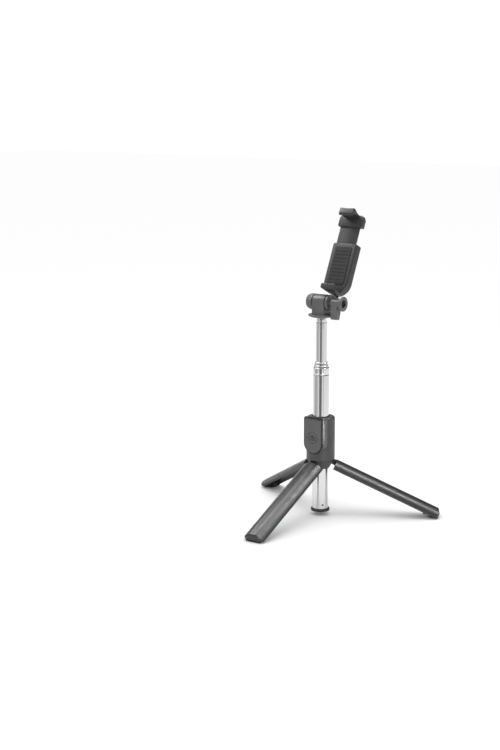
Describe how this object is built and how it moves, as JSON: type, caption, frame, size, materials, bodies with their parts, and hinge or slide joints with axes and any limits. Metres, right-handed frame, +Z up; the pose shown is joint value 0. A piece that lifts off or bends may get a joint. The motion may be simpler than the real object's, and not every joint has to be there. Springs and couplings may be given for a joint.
{
  "type": "selfie stick tripod",
  "caption": "Telescopic selfie stick whose split handle unfolds into a small tripod, with a pull-out shutter remote and a sprung phone clamp on a tilting head.",
  "frame": {"origin": "centre of the flat underside of the pole's end cap, on the pole's axis; the feet stand 4 mm lower", "axes": "+Z up along the pole, -Y towards the front (the remote and the front leg), +X along the clamp's tilt axis towards the wing lever"},
  "size_m": [0.2172, 0.189, 0.3107],
  "materials": {
    "housing_plastic": "dark grey moulded ABS, fine grain, semi-matt",
    "leg_plastic": "dark grey moulded nylon, smooth semi-gloss",
    "head_plastic": "dark grey moulded nylon, fine grain",
    "clamp_plastic": "dark grey moulded ABS",
    "remote_plastic": "dark grey moulded ABS, satin",
    "black_plastic": "black acetal, satin",
    "rubber": "black silicone rubber, matt",
    "cap_rubber": "dark grey hard rubber",
    "polished_tube": "polished stainless steel tube",
    "steel": "plated steel",
    "circuit_board": "green solder mask",
    "lamp": "clear light pipe, unlit"
  },
  "bodies": {
    "housing": {"housing_sleeve": "housing_plastic", "hinge_hub": "housing_plastic", "slide_bush_lower": "black_plastic", "slide_bush_upper": "black_plastic", "hinge_pin_front": "steel", "hinge_pin_right": "steel", "hinge_pin_left": "steel", "hub_screw_1": "steel", "hub_screw_2": "steel", "hub_screw_3": "steel"},
    "leg_front_body": {"leg_front": "leg_plastic", "foot_pad_front": "rubber"},
    "leg_right_body": {"leg_right": "leg_plastic", "foot_pad_right": "rubber"},
    "leg_left_body": {"leg_left": "leg_plastic", "foot_pad_left": "rubber"},
    "pole": {"outer_tube": "polished_tube", "end_cap": "cap_rubber", "cap_rivet": "steel"},
    "stage_2": {"tube_2": "polished_tube", "tube_2_bush": "black_plastic"},
    "stage_3": {"tube_3": "polished_tube", "tube_3_bush": "black_plastic"},
    "stage_4": {"tube_4": "polished_tube", "tube_4_bush": "black_plastic", "neck_plug": "polished_tube"},
    "head": {"head_base": "head_plastic", "swivel_pin": "steel", "swivel_clip": "steel", "tilt_knob": "head_plastic", "tilt_bolt": "steel"},
    "lever": {"wing_lever": "head_plastic", "lever_nut": "steel", "thrust_washer": "steel"},
    "arm": {"tilt_arm": "head_plastic", "friction_washer": "rubber", "pivot_screw": "steel", "pivot_cap": "head_plastic"},
    "clamp": {"clamp_body": "clamp_plastic", "clamp_cover": "clamp_plastic", "clamp_back_pad": "rubber", "lower_jaw_pad": "rubber", "guide_rod_left": "steel", "guide_rod_right": "steel", "clamp_spring_left": "steel", "clamp_spring_right": "steel", "cover_screw_left": "steel", "cover_screw_right": "steel"},
    "jaw": {"upper_jaw": "clamp_plastic", "upper_jaw_pad": "rubber"},
    "remote": {"remote_back": "remote_plastic", "remote_face": "remote_plastic", "remote_board": "circuit_board", "remote_switch": "steel", "remote_lamp": "lamp", "coin_cell": "steel"},
    "button": {"remote_button": "remote_plastic"}
  },
  "joints": [
    {"name": "leg_front_fold", "type": "hinge", "parent": "housing", "child": "leg_front_body", "pos_m": [0, -0.0106, 0.0516], "axis": [-1, 0, 0], "range_deg": [-65, 0]},
    {"name": "leg_right_fold", "type": "hinge", "parent": "housing", "child": "leg_right_body", "pos_m": [0.00918, 0.0053, 0.0516], "axis": [0.5, -0.866, 0], "range_deg": [-65, 0]},
    {"name": "leg_left_fold", "type": "hinge", "parent": "housing", "child": "leg_left_body", "pos_m": [-0.00918, 0.0053, 0.0516], "axis": [0.5, 0.866, 0], "range_deg": [-65, 0]},
    {"name": "pole_slide", "type": "slide", "parent": "housing", "child": "pole", "axis": [0, 0, 1], "range_m": [-0.05, 0.036]},
    {"name": "stage_2_slide", "type": "slide", "parent": "pole", "child": "stage_2", "axis": [0, 0, 1], "range_m": [0, 0.118]},
    {"name": "stage_3_slide", "type": "slide", "parent": "stage_2", "child": "stage_3", "axis": [0, 0, 1], "range_m": [0, 0.118]},
    {"name": "stage_4_slide", "type": "slide", "parent": "stage_3", "child": "stage_4", "axis": [0, 0, 1], "range_m": [-0.0364, 0.074]},
    {"name": "head_swivel", "type": "hinge", "parent": "stage_4", "child": "head", "pos_m": [0, 0, 0.199], "axis": [0, 0, 1], "continuous": true},
    {"name": "clamp_tilt", "type": "hinge", "parent": "head", "child": "arm", "pos_m": [0, 0, 0.214], "axis": [-1, 0, 0], "range_deg": [-85, 59]},
    {"name": "lever_turn", "type": "hinge", "parent": "head", "child": "lever", "pos_m": [0, 0, 0.214], "axis": [-1, 0, 0], "range_deg": [-60, 60]},
    {"name": "clamp_turn", "type": "hinge", "parent": "arm", "child": "clamp", "pos_m": [0.0093, 0.02001, 0.2303], "axis": [0, -0.9018, 0.4321], "range_deg": [-90, 90]},
    {"name": "jaw_slide", "type": "slide", "parent": "clamp", "child": "jaw", "axis": [0, 0.4321, 0.9018], "range_m": [-0.016, 0.012], "stiffness_N_per_m": 200, "springref_m": -0.03, "deforming": ["clamp_spring_left", "clamp_spring_right"]},
    {"name": "remote_release", "type": "slide", "parent": "housing", "child": "remote", "axis": [0, 0, 1], "range_m": [0, 0.06]},
    {"name": "button_press", "type": "slide", "parent": "remote", "child": "button", "axis": [0, 1, 0], "range_m": [0, 0.0005], "stiffness_N_per_m": 2000}
  ]
}
